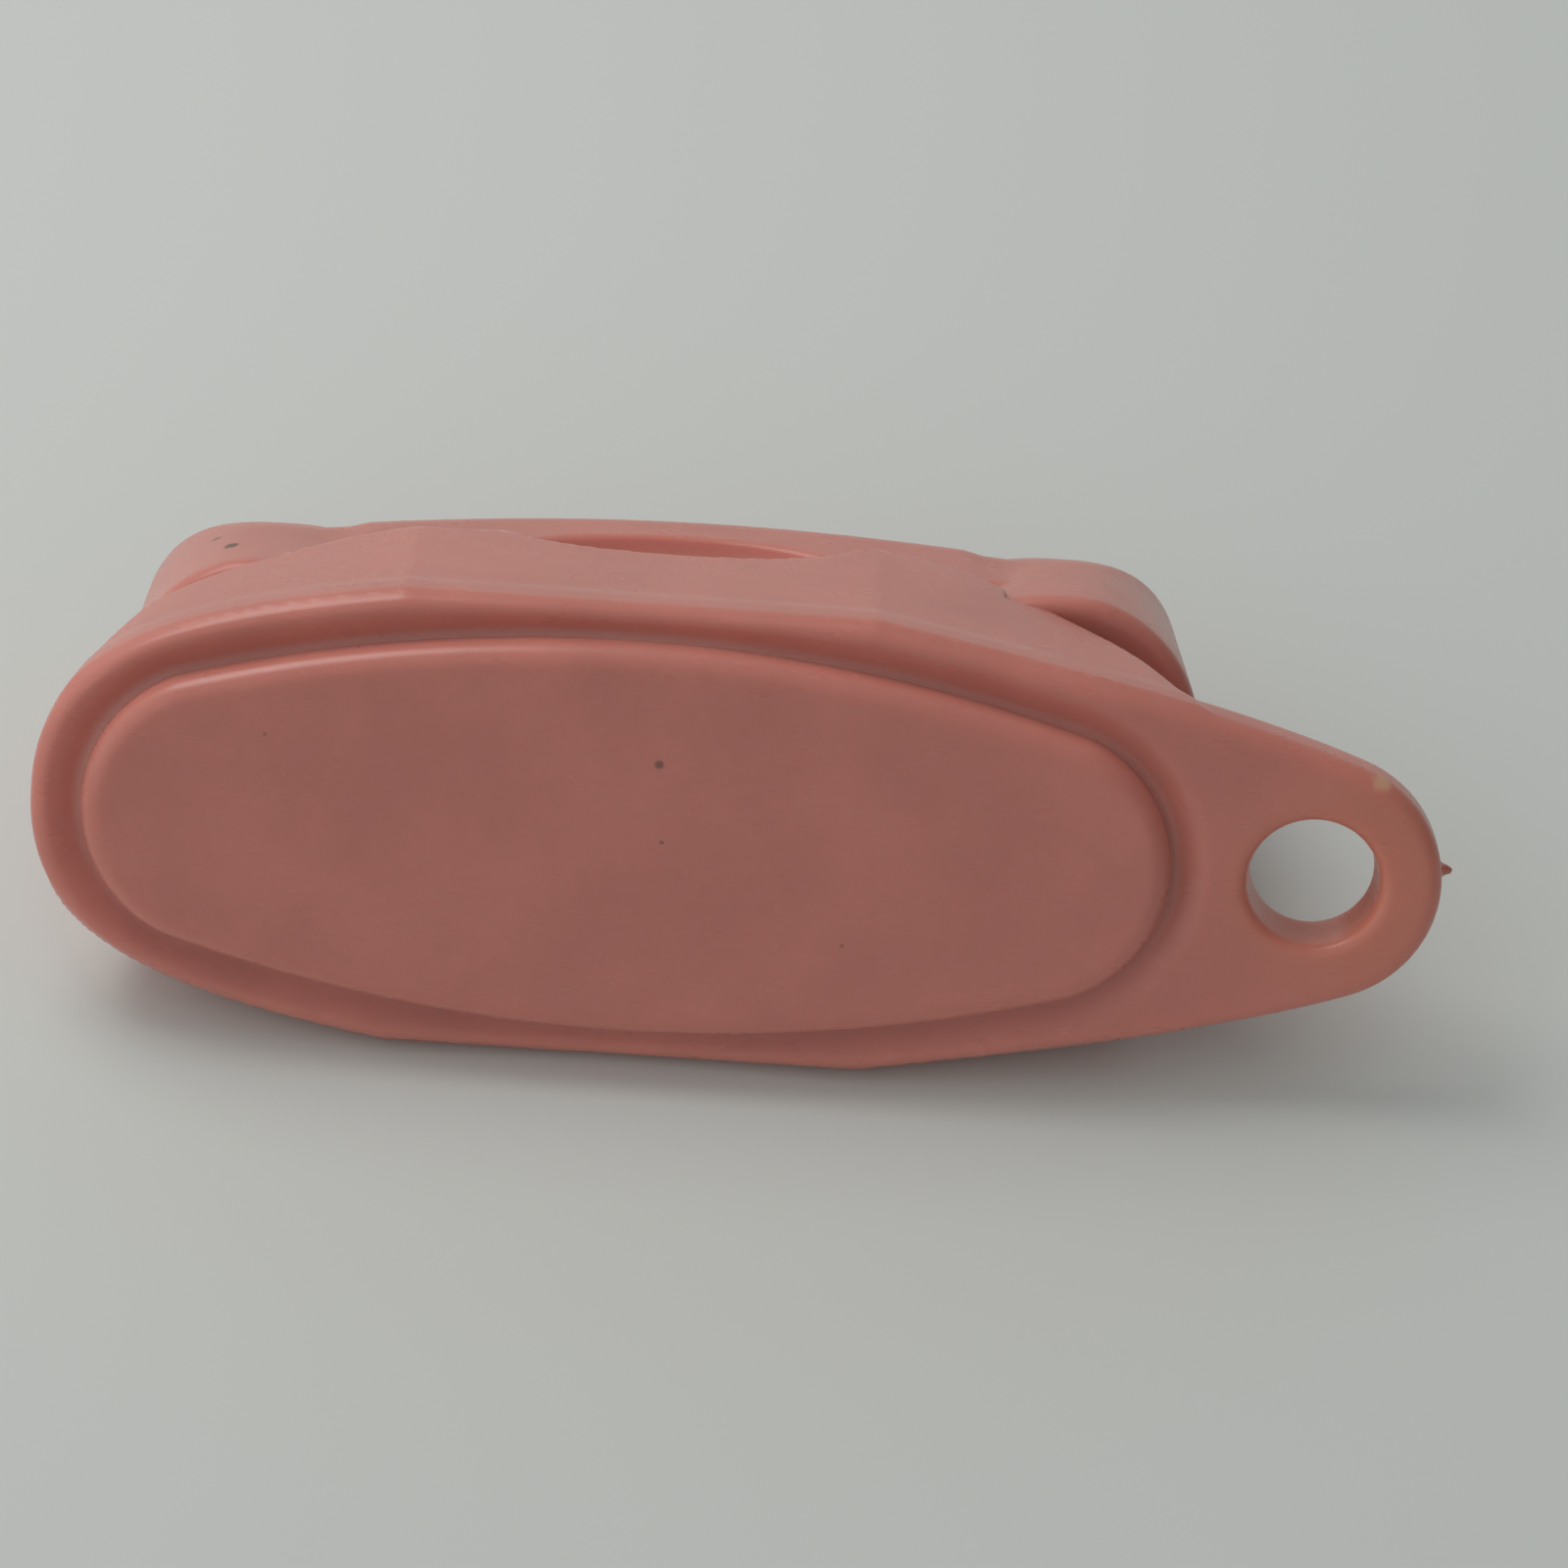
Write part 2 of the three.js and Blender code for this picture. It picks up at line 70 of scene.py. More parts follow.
RIM_HALF_WIDTH = 8.2
RIM_FLAT = 8.0
RIM_END = 20.45
RIM_THICKNESS = 2.5
RIM_STEEPNESS = 0.16
RIM_PULL_SIDE = 8.2
RIM_PULL_END = 5.2
TAB_HOLE_X = 23.5
TAB_HOLE_RADIUS = 2.3
TAB_END_RADIUS = 4.45
TAB_TANGENT = math.radians(69)
TAB_STEEPNESS = 0.19
TAB_PULL = 5.0
NIB = (27.75, -0.45, 1.25)
NIB_RADII = (0.5, 0.22, 0.26)
NIB_FILLET = 0.15
RIM_UNDER_ROUND = 0.6
RIM_UPPER_ROUND = 1.1
RIM_DRAFT = 0.03
DISH_DEPTH = 0.5  # of the shallow valley round the plate
DISH_REACH = 1.4
COVE = 0.3  # fillet from the valley up the plate's edge
COVE_END = 0.97  # the fillet stops short of upright
HOLE_LIP_ROUND = 0.4
HOLE_TAPER = 0.08

REAR_DRAFT = 0.03
FRONT_FOOT = (7.4, 2.2)  # Y and Z where the dial slope starts
FRONT_TOP = (2.2, 8.2)
DECK_LEFT = (-9.2, 8.15)  # X and Z
DECK_RIGHT = (11.0, 9.45)
SHOULDER = (17.0, 4.85)
SKIRT = (18.9, 1.6)
END_ROUND = 0.6  # of the edges along the deck, shoulders and skirts
WALL_ROUND = 0.28  # where the walls meet them
FRONT_ROUND = 0.5
BLOCK_FOOT = 0.6  # the block starts inside the rim
BLOCK_FILLET = 0.25
WALL = 1.4
HOLLOW_TOP = 6.2
HOLLOW_SHELF = 3.8
HOLLOW_DECK_END = 7.0
HOLLOW_LEDGE = 1.0
HOLLOW_ROUND = 0.5
HOLLOW_TOP_ROUND = 0.4
HOLLOW_MOUTH_ROUND = 0.2

PLATE_HALF_WIDTH = 7.0
PLATE_END = 18.6
PLATE_END_RADIUS = 5.05
PLATE_MEET = math.radians(66)
PLATE_PROUD = 0.8
PLATE_DEPTH = 1.2
PLATE_ROUND = 0.75
PLATE_BEDDING = 0.35  # how far the housing closes onto the edge of the plate
PLATE_SEAT_GAP = 0.15
PLATE_INNER_ROUND = 0.15
CLOSE = 0.06  # how far the seat of the grip closes onto it
SKIN = 0.05  # keeps the smooth outside within the faceted CAD solids
FINE_ROUND = 0.12  # of crisp moulded edges

CAP_SPACING = 13.6
CAP_RADIUS = 5.27
CAP_DRAFT = 0.055
CAP_HEIGHT = 8.1
CAP_EDGE_ROUND = 0.3
CAP_LIP_ROUND = 0.6
CAP_VAULT_ROUND = 3.5  # across the handset, front and rear
CUP_RADIUS = 3.9
CUP_DEPTH = 1.2
DISC_GAP = 0.04
DISC_HALF_THICKNESS = 0.4
DISC_ROUND = 0.15
CAP_GAP = 0.05  # the fine gap under and around the caps
CAP_POCKET_ROUND = 0.1
CAP_NECK_FILLET = 0.08
CUP_CORNER_ROUND = 0.2
CUP_LIP_ROUND = 0.15
PIERCING_RINGS = ((1.5, 6), (3.0, 12))  # radius of each ring of holes, and how many
PIERCING_RADIUS = 0.38
PIERCING_ROUND = 0.08
HANDSET_PLACE = Vector((0.78, -1.87, 6.75))
HANDSET_TILT = math.radians(1.74)  # the tab end stands a little higher
HANDSET_YAW = math.radians(-0.83)  # and a little further back
GRIP_REAR = 5.15  # from the caps' axis plane to the grip's rear face
GRIP_FRONT = 4.2
GRIP_BOW = 0.3  # how much less both are at the caps
GRIP_BOTTOM = 2.3
GRIP_TOP = 8.1
GRIP_SAG = 1.5
GRIP_ROUND = 1.7
GRIP_END_ROUND = 2.8  # at the caps
GRIP_UNDER_ROUND = 0.4
GRIP_SEAT_ROUND = 0.06
NECK_DEPTH = 0.1  # how much the grip narrows right at the caps
NECK_REACH = 0.6

RECESS_CENTRE = (0.9, -7.6, 9.3)
RECESS_RADII = (6.3, 2.4, 2.5)

DIAL_CENTRE = Vector((0.3, 4.55, 5.5))
DIAL_SEAT_RADIUS = 3.5
DIAL_SEAT_DEPTH = 1.2
DIAL_BACKING = 0.8
DIAL_PLATE_RADIUS = 3.2
WHEEL_RADIUS = 3.1
FINGER_HOLES = 10
FINGER_HOLE_RADIUS = 0.42
FINGER_HOLE_CIRCLE = 2.35
FINGER_HOLE_STEP = math.radians(29)
FINGER_HOLE_START = math.radians(-22)
HUB_RADIUS = 1.25
HUB_DOME = 0.08  # how fast the hub falls away from its middle
SEAT_CORNER_ROUND = 0.15
SEAT_LIP_ROUND = 0.2
DIAL_PLATE_ROUND = 0.12
WHEEL_ROUND = 0.2
FINGER_HOLE_ROUND = 0.1

# Lowest and highest level of each layer of the dial, above its slope
PLATE_LAYER = (0.1 - DIAL_SEAT_DEPTH, 0.6 - DIAL_SEAT_DEPTH)
WHEEL_LAYER = (PLATE_LAYER[1] + 0.25, PLATE_LAYER[1] + 0.85)
HUB_LAYER = (WHEEL_LAYER[1] - 0.1, WHEEL_LAYER[1] + 0.65)


# ---- the telephone's axes in the row frame ----

def phone_axes():
    mounts = {m["name"]: m for m in frame["record"]["mounts"]}
    up = -Vector(mounts["underside"]["axis"]).normalized()
    right = Vector((1, 0, 0))
    forward = up.cross(right)
    origin = Vector(mounts["key_ring_hole"]["pos_m"]) - TAB_HOLE_X * MM * right
    axes = Matrix((right, forward, up)).transposed().to_4x4()
    return Matrix.Translation(origin) @ axes @ Matrix.Scale(MM, 4)


PHONE = phone_axes()


# ---- smooth solids ----

def both(a, b, round_off=0.0):
    """What a and b share, with the edge between them rounded."""
    u = np.maximum(a + round_off, 0)
    v = np.maximum(b + round_off, 0)
    return np.minimum(np.maximum(a, b), -round_off) + np.hypot(u, v)


def either(a, b, fillet=0.0):
    """a and b joined, with a fillet in the corner between them."""
    u = np.maximum(fillet - a, 0)
    v = np.maximum(fillet - b, 0)
    return np.maximum(np.minimum(a, b), fillet) - np.hypot(u, v)


def without(a, b, round_off=0.0):
    return both(a, -b, round_off)


def soft_step(t):
    t = np.clip(t, 0, 1)
    return t * t * (3 - 2 * t)


def half_plane(p, q, start, end):
    """Distance to the line from start to end in a side view: positive on its left."""
    along = math.hypot(end[0] - start[0], end[1] - start[1])
    return ((end[0] - start[0]) * (q - start[1]) - (end[1] - start[1]) * (p - start[0])) / along


def ellipsoid(x, y, z, centre, radii):
    u = (x - centre[0]) / radii[0]
    v = (y - centre[1]) / radii[1]
    w = (z - centre[2]) / radii[2]
    size = np.sqrt(u * u + v * v + w * w) + 1e-9
    slope = np.sqrt((u / radii[0]) ** 2 + (v / radii[1]) ** 2 + (w / radii[2]) ** 2) + 1e-9
    return size * (size - 1) / slope


class Outline:
    """Signed distance to a closed plan outline, kept on a fine grid and read back by cubic interpolation."""

    STEP = 0.1
    MARGIN = 2.0

    def __init__(self, points):
        points = np.array(points, float)
        self.low = points.min(0) - self.MARGIN
        counts = np.ceil((points.max(0) + self.MARGIN - self.low) / self.STEP).astype(int) + 1
        xs = self.low[0] + self.STEP * np.arange(counts[0])
        ys = self.low[1] + self.STEP * np.arange(counts[1])
        start, end = points, np.roll(points, -1, 0)
        run = end - start
        square = (run * run).sum(1)
        self.values = np.empty(counts)
        for row, x in enumerate(xs):
            px = x - start[:, 0]
            py = ys[:, None] - start[:, 1]
            share = np.clip((px * run[:, 0] + py * run[:, 1]) / square, 0, 1)
            gap = np.hypot(px - share * run[:, 0], py - share * run[:, 1]).min(1)
            crosses = (start[:, 1] > ys[:, None]) != (end[:, 1] > ys[:, None])
            rise = np.where(run[:, 1] == 0, 1, run[:, 1])
            left = x < start[:, 0] + run[:, 0] * py / rise
            inside = (crosses & left).sum(1) % 2 == 1
            self.values[row] = np.where(inside, -gap, gap)

    def __call__(self, x, y):
        u = (x + 0 * y - self.low[0]) / self.STEP
        v = (y + 0 * x - self.low[1]) / self.STEP
        i = np.clip(np.floor(u).astype(int), 1, self.values.shape[0] - 3)
        j = np.clip(np.floor(v).astype(int), 1, self.values.shape[1] - 3)
        across = self.weights(np.clip(u - i, 0, 1))
        upward = self.weights(np.clip(v - j, 0, 1))
        total = 0
        for m in range(4):
            for n in range(4):
                total = total + across[m] * upward[n] * self.values[i + m - 1, j + n - 1]
        return total

    @staticmethod
    def weights(t):
        return (
            ((-t + 2) * t - 1) * t / 2,
            ((3 * t - 5) * t * t + 2) / 2,
            ((-3 * t + 4) * t + 1) * t / 2,
            (t - 1) * t * t / 2,
        )


def bezier(a, b, c, d, count=40):
    t = np.arange(count)[:, None] / count
    a, b, c, d = (np.array(p, float) for p in (a, b, c, d))
    return (1 - t) ** 3 * a + 3 * (1 - t) ** 2 * t * b + 3 * (1 - t) * t * t * c + t ** 3 * d


def arc(centre, radius, start, end, count=60):
    t = start + (end - start) * np.arange(count) / count
    return np.stack([centre[0] + radius * np.cos(t), centre[1] + radius * np.sin(t)], 1)


def mirrored(points):
    """The same stretch on the other side of the X axis, run backwards."""
    return (points * (1, -1))[::-1]


def left_end():
    side = (RIM_FLAT + RIM_PULL_SIDE, RIM_HALF_WIDTH - RIM_PULL_SIDE * RIM_STEEPNESS)
    upper = bezier(
        (-RIM_FLAT, RIM_HALF_WIDTH),
        (-side[0], side[1]),
        (-RIM_END, RIM_PULL_END),
        (-RIM_END, 0),
    )
    return np.concatenate([upper, mirrored(upper)])


def rim_outline():
    join = (
        TAB_HOLE_X + TAB_END_RADIUS * math.cos(TAB_TANGENT),
        TAB_END_RADIUS * math.sin(TAB_TANGENT),
    )
    lower = bezier(
        (RIM_FLAT, -RIM_HALF_WIDTH),
        (RIM_FLAT + TAB_PULL, -RIM_HALF_WIDTH + TAB_PULL * TAB_STEEPNESS),
        (join[0] - TAB_PULL * math.sin(TAB_TANGENT), -join[1] - TAB_PULL * math.cos(TAB_TANGENT)),
        (join[0], -join[1]),
    )
    end = arc((TAB_HOLE_X, 0), TAB_END_RADIUS, -TAB_TANGENT, TAB_TANGENT)
    return np.concatenate([lower, end, [(join[0], join[1])], mirrored(lower)[:-1], left_end()])


def oval_outline():
    left = left_end()
    return np.concatenate([left, left * (-1, -1)])


def plate_outline():
    centre = PLATE_END - PLATE_END_RADIUS
    meet_x = centre + PLATE_END_RADIUS * math.cos(PLATE_MEET)
    rise = PLATE_HALF_WIDTH - PLATE_END_RADIUS * math.sin(PLATE_MEET)
    radius = (meet_x ** 2 + rise ** 2) / (2 * rise)
    half = math.asin(meet_x / radius)
    quarter = math.pi / 2
    right = arc((centre, 0), PLATE_END_RADIUS, -PLATE_MEET, PLATE_MEET)
    top = arc((0, PLATE_HALF_WIDTH - radius), radius, quarter - half, quarter + half)
    return np.concatenate([right, top, right * (-1, -1), top * (-1, -1)])


RIM = Outline(rim_outline())
OVAL = Outline(oval_outline())
PLATE = Outline(plate_outline())


def to_handset(x, y, z):
    """Telephone axes to the handset's own: Z = 0 at the lips of the caps."""
    u, v, w = x - HANDSET_PLACE.x, y - HANDSET_PLACE.y, z - HANDSET_PLACE.z
    cos, sin = math.cos(HANDSET_YAW), math.sin(HANDSET_YAW)
    u, v = u * cos + v * sin, v * cos - u * sin
    cos, sin = math.cos(HANDSET_TILT), math.sin(HANDSET_TILT)
    return u * cos + w * sin, v, w * cos - u * sin


SLOPE = math.atan2(FRONT_TOP[1] - FRONT_FOOT[1], FRONT_FOOT[0] - FRONT_TOP[0])


def to_dial(x, y, z):
    """Telephone axes to the dial's: Z = 0 on the slope, Z up out of it, Y up the slope."""
    u, v, w = x - DIAL_CENTRE.x, y - DIAL_CENTRE.y, z - DIAL_CENTRE.z
    cos, sin = math.cos(SLOPE), math.sin(SLOPE)
    return u, w * sin - v * cos, v * sin + w * cos


# ---- fields of the pieces ----

def finger_recess(x, y, z):
    """The hollow for the fingers under the grip, at the rear."""
    return ellipsoid(x, y, z, RECESS_CENTRE, RECESS_RADII)


def rim(x, y, z):
    edge = RIM(x, y) + RIM_DRAFT * z + SKIN
    gap = PLATE(x, y)
    cove = COVE * (1 - np.sqrt(1 - np.clip(1 - gap / COVE, 0, COVE_END) ** 2))
    dish = DISH_DEPTH * soft_step(1 - gap / DISH_REACH) - cove
    under = both(edge, dish - z, RIM_UNDER_ROUND)
    slab = both(under, z - RIM_THICKNESS, RIM_UPPER_ROUND)
    slab = either(slab, ellipsoid(x, y, z, NIB, NIB_RADII), NIB_FILLET)
    bore = np.hypot(x - TAB_HOLE_X, y) - TAB_HOLE_RADIUS + HOLE_TAPER * z
    return without(slab, bore, HOLE_LIP_ROUND)


def side_view(x, z):
    """Positive above the deck, the two shoulders and the two skirts."""
    result = half_plane(x, z, DECK_LEFT, DECK_RIGHT)
    for side, corner in ((1, DECK_RIGHT), (-1, DECK_LEFT)):
        shoulder = half_plane(side * x, z, (side * corner[0], corner[1]), SHOULDER)
        skirt = half_plane(side * x, z, SHOULDER, SKIRT)
        result = both(result, both(shoulder, skirt, END_ROUND), END_ROUND)
    return result


def front_slope(y, z):
    """Positive in front of the slope that carries the dial."""
    return half_plane(-y, z, (-FRONT_FOOT[0], FRONT_FOOT[1]), (-FRONT_TOP[0], FRONT_TOP[1]))


def block(x, y, z):
    wall = RIM(x, y) + REAR_DRAFT * z
    shape = both(wall, side_view(x, z), WALL_ROUND)
    return both(shape, front_slope(y, z), FRONT_ROUND)


def hollow(x, y, z):
    """The room inside, lower under the caps than under the deck."""
    wall = OVAL(x, y) + RIM_HALF_WIDTH - PLATE_HALF_WIDTH + HOLLOW_LEDGE
    shape = both(wall, front_slope(y, z) + DIAL_SEAT_DEPTH + DIAL_BACKING, HOLLOW_ROUND)
    deck = both(np.abs(x) - HOLLOW_DECK_END, z - HOLLOW_TOP, HOLLOW_ROUND)
    ends = both(np.abs(x) - SHOULDER[0] + WALL, z - HOLLOW_SHELF, HOLLOW_ROUND)
    return both(shape, either(deck, ends), HOLLOW_TOP_ROUND)


def cap_pockets(x, y, z):
    u, v, w = to_handset(x, y, z)
    r = np.hypot(np.abs(u) - CAP_SPACING, v)
    return both(r - CAP_RADIUS - CAP_GAP, -w - CAP_GAP, CAP_POCKET_ROUND)


def grip(x, y, z):
    """The bar between the caps, arched along its back and a little bowed along its sides."""
    u, v, w = to_handset(x, y, z)
    bend = np.minimum((u / CAP_SPACING) ** 2, 1)
    share = np.clip((w - GRIP_BOTTOM) / (GRIP_TOP - GRIP_BOTTOM), 0, 1)
    from_cap = np.hypot(np.abs(u) - CAP_SPACING, v) - CAP_RADIUS
    neck = NECK_DEPTH * soft_step(1 - from_cap / NECK_REACH)
    sides = np.maximum(-v - GRIP_REAR, v - GRIP_FRONT) + GRIP_BOW * bend + neck
    back = w + GRIP_SAG * bend * share - GRIP_TOP + neck
    bar = both(sides, back, GRIP_ROUND + (GRIP_END_ROUND - GRIP_ROUND) * bend)
    bar = both(bar, GRIP_BOTTOM - w, GRIP_UNDER_ROUND)
    return both(bar, np.abs(u) - CAP_SPACING)


def housing(x, y, z):
    body = either(rim(x, y, z), both(block(x, y, z), BLOCK_FOOT - z), BLOCK_FILLET)
    body = without(body, hollow(x, y, z), HOLLOW_MOUTH_ROUND)
    body = without(body, both(PLATE(x, y) + PLATE_BEDDING, z - PLATE_DEPTH - PLATE_SEAT_GAP))
    body = without(body, finger_recess(x, y, z), FINE_ROUND)
    u, v, w = to_dial(x, y, z)
    dial_seat = both(np.hypot(u, v) - DIAL_SEAT_RADIUS, -DIAL_SEAT_DEPTH - w, SEAT_CORNER_ROUND)
    body = without(body, dial_seat, SEAT_LIP_ROUND)
    body = without(body, cap_pockets(x, y, z), FINE_ROUND)
    return without(body, grip(x, y, z) + CLOSE, GRIP_SEAT_ROUND)


def base_plate(x, y, z):
    edge = PLATE(x, y)
    return both(both(edge, -PLATE_PROUD - z, PLATE_ROUND), z - PLATE_DEPTH, PLATE_INNER_ROUND)


def handset(x, y, z):
    u, v, w = to_handset(x, y, z)
    r = np.hypot(np.abs(u) - CAP_SPACING, v)
    side = r - CAP_RADIUS + CAP_DRAFT * w + SKIN
    vault = both(np.abs(v) - CAP_RADIUS + CAP_DRAFT * w, w - CAP_HEIGHT, CAP_VAULT_ROUND) + SKIN
    cap = both(both(side, vault, CAP_EDGE_ROUND), -w, CAP_LIP_ROUND)
    body = either(grip(x, y, z) + SKIN, cap, CAP_NECK_FILLET)
    cup = both(r - CUP_RADIUS, w - CUP_DEPTH, CUP_CORNER_ROUND)
    body = without(body, cup, CUP_LIP_ROUND)
    return without(body, finger_recess(x, y, z), FINE_ROUND)


def cap_disc(side):
    """The pierced face in the cup of one cap: one hole in the middle and rings of holes round it."""
    def field(x, y, z):
        u, v, w = to_handset(x, y, z)
        du = u - side * CAP_SPACING
        r = np.hypot(du, v)
        middle = CUP_DEPTH - DISC_GAP - DISC_HALF_THICKNESS
        body = both(r - CUP_RADIUS + DISC_GAP, np.abs(w - middle) - DISC_HALF_THICKNESS, DISC_ROUND)
        body = without(body, r - PIERCING_RADIUS, PIERCING_ROUND)
        turn = np.arctan2(v, du)
        for radius, count in PIERCING_RINGS:
            sector = 2 * math.pi / count
            local = (turn + sector / 2) % sector - sector / 2
            from_hole = np.hypot(r * np.cos(local) - radius, r * np.sin(local))
            body = without(body, from_hole - PIERCING_RADIUS, PIERCING_ROUND)
        return body
    return field


def layer(w, limits):
    return np.maximum(limits[0] - w, w - limits[1])


def dial_plate(x, y, z):
    u, v, w = to_dial(x, y, z)
    return both(np.hypot(u, v) - DIAL_PLATE_RADIUS, layer(w, PLATE_LAYER), DIAL_PLATE_ROUND)


def dial_wheel(x, y, z):
    u, v, w = to_dial(x, y, z)
    r = np.hypot(u, v)
    body = both(r - WHEEL_RADIUS, layer(w, WHEEL_LAYER), WHEEL_ROUND)
    for i in range(FINGER_HOLES):
        angle = FINGER_HOLE_START + i * FINGER_HOLE_STEP
        hole = np.hypot(
            u - FINGER_HOLE_CIRCLE * math.cos(angle),
            v - FINGER_HOLE_CIRCLE * math.sin(angle),
        )
        body = without(body, hole - FINGER_HOLE_RADIUS, FINGER_HOLE_ROUND)
    return body


def dial_centre(x, y, z):
    u, v, w = to_dial(x, y, z)
    r = np.hypot(u, v)
    dome = w - HUB_LAYER[1] + HUB_DOME * r * r
    return both(both(r - HUB_RADIUS, dome, WHEEL_ROUND), HUB_LAYER[0] - w)


# ---- meshing ----

def surface(field, room, step):
    """Corners and quads of the surface where the field is zero."""
    low, high = np.array(room, float)
    counts = np.ceil((high - low) / step).astype(int) + 1
    xs, ys, zs = (low[k] + step * np.arange(counts[k]) for k in range(3))
    values = field(xs[:, None, None], ys[None, :, None], zs[None, None, :])
    values = np.broadcast_to(values, counts).astype(np.float32)
    inside = values < 0
    total = np.zeros(counts - 1, np.int8)
    corners = [(a, b, c) for a in (0, 1) for b in (0, 1) for c in (0, 1)]
    for a, b, c in corners:
        total += inside[a:a + counts[0] - 1, b:b + counts[1] - 1, c:c + counts[2] - 1]
    active = np.nonzero((total > 0) & (total < 8))
    index = np.full(counts - 1, -1, np.int64)
    index[active] = np.arange(len(active[0]))
    cells = np.stack(active, 1)
    place = np.zeros(cells.shape)
    hits = np.zeros(len(cells))
    for axis in range(3):
        for corner in corners:
            if corner[axis] == 1:
                continue
            here = cells + corner
            there = here.copy()
            there[:, axis] += 1
            a = values[tuple(here.T)]
            b = values[tuple(there.T)]
            cut = (a < 0) != (b < 0)
            share = np.where(cut, a / np.where(cut, a - b, 1), 0)
            point = here.astype(float)
            point[:, axis] += share
            place[cut] += point[cut]
            hits[cut] += 1
    place = low + step * place / hits[:, None]
    quads = []
    for axis in range(3):
        second, third = (axis + 1) % 3, (axis + 2) % 3
        near = [slice(None)] * 3
        far = [slice(None)] * 3
        near[axis], far[axis] = slice(0, -1), slice(1, None)
        crossing = inside[tuple(near)] != inside[tuple(far)]
        edges = np.stack(np.nonzero(crossing), 1)
        outward = inside[tuple(edges.T)]
        ring = []
        for back_second, back_third in ((1, 1), (0, 1), (0, 0), (1, 0)):
            cell = edges.copy()
            cell[:, second] -= back_second
            cell[:, third] -= back_third
            ring.append(index[tuple(cell.T)])
        ring = np.stack(ring, 1)
        quads.append(np.where(outward[:, None], ring, ring[:, ::-1]))
    return place, np.concatenate(quads)


def slope_of(field, p, reach=0.01):
    grad = np.empty(p.shape)
    for axis in range(3):
        shift = np.zeros(3)
        shift[axis] = reach
        ahead = field(*(p + shift).T)
        behind = field(*(p - shift).T)
        grad[:, axis] = (ahead - behind) / (2 * reach)
    return grad


def settle(field, p, quads, step, rounds=3):
    """Spreads the corners evenly and puts them back on the surface."""
    starts = quads.reshape(-1)
    ends = np.roll(quads, -1, 1).reshape(-1)
    share = np.bincount(starts, minlength=len(p)) + np.bincount(ends, minlength=len(p))
    for turn in range(rounds + 1):
        grad = slope_of(field, p)
        size = (grad * grad).sum(1) + 1e-6
        move = np.clip(field(*p.T) / size, -0.5 * step, 0.5 * step)
        p = p - move[:, None] * grad
        if turn == rounds:
            break
        mean = np.zeros(p.shape)
        for axis in range(3):
            mean[:, axis] = np.bincount(starts, p[ends, axis], len(p))
            mean[:, axis] += np.bincount(ends, p[starts, axis], len(p))
        drift = mean / share[:, None] - p
        normal = grad / np.sqrt(size)[:, None]
        drift -= (drift * normal).sum(1)[:, None] * normal
        p = p + 0.5 * drift
    return p


def piece(name, field, room, step, node, material):
    """Meshes a field, hides the CAD node it stands for, hangs it on the body and gives it its material."""
    place, quads = surface(field, room, step)
    place = settle(field, place, quads, step)
    mesh = bpy.data.meshes.new(name)
    mesh.vertices.add(len(place))
    mesh.vertices.foreach_set("co", place.astype(np.float32).reshape(-1))
    mesh.loops.add(quads.size)
    mesh.loops.foreach_set("vertex_index", quads.reshape(-1).astype(np.int32))
    mesh.polygons.add(len(quads))
    mesh.polygons.foreach_set("loop_start", 4 * np.arange(len(quads), dtype=np.int32))
    mesh.transform(PHONE)
    mesh.update(calc_edges=True)
    mesh.validate()
    mesh.shade_smooth()
    mesh.materials.append(material)
    made = bpy.data.objects.new(name, mesh)
    bpy.context.scene.collection.objects.link(made)
    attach(made, BODY)
    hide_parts(node)
    return made


# ---- materials ----

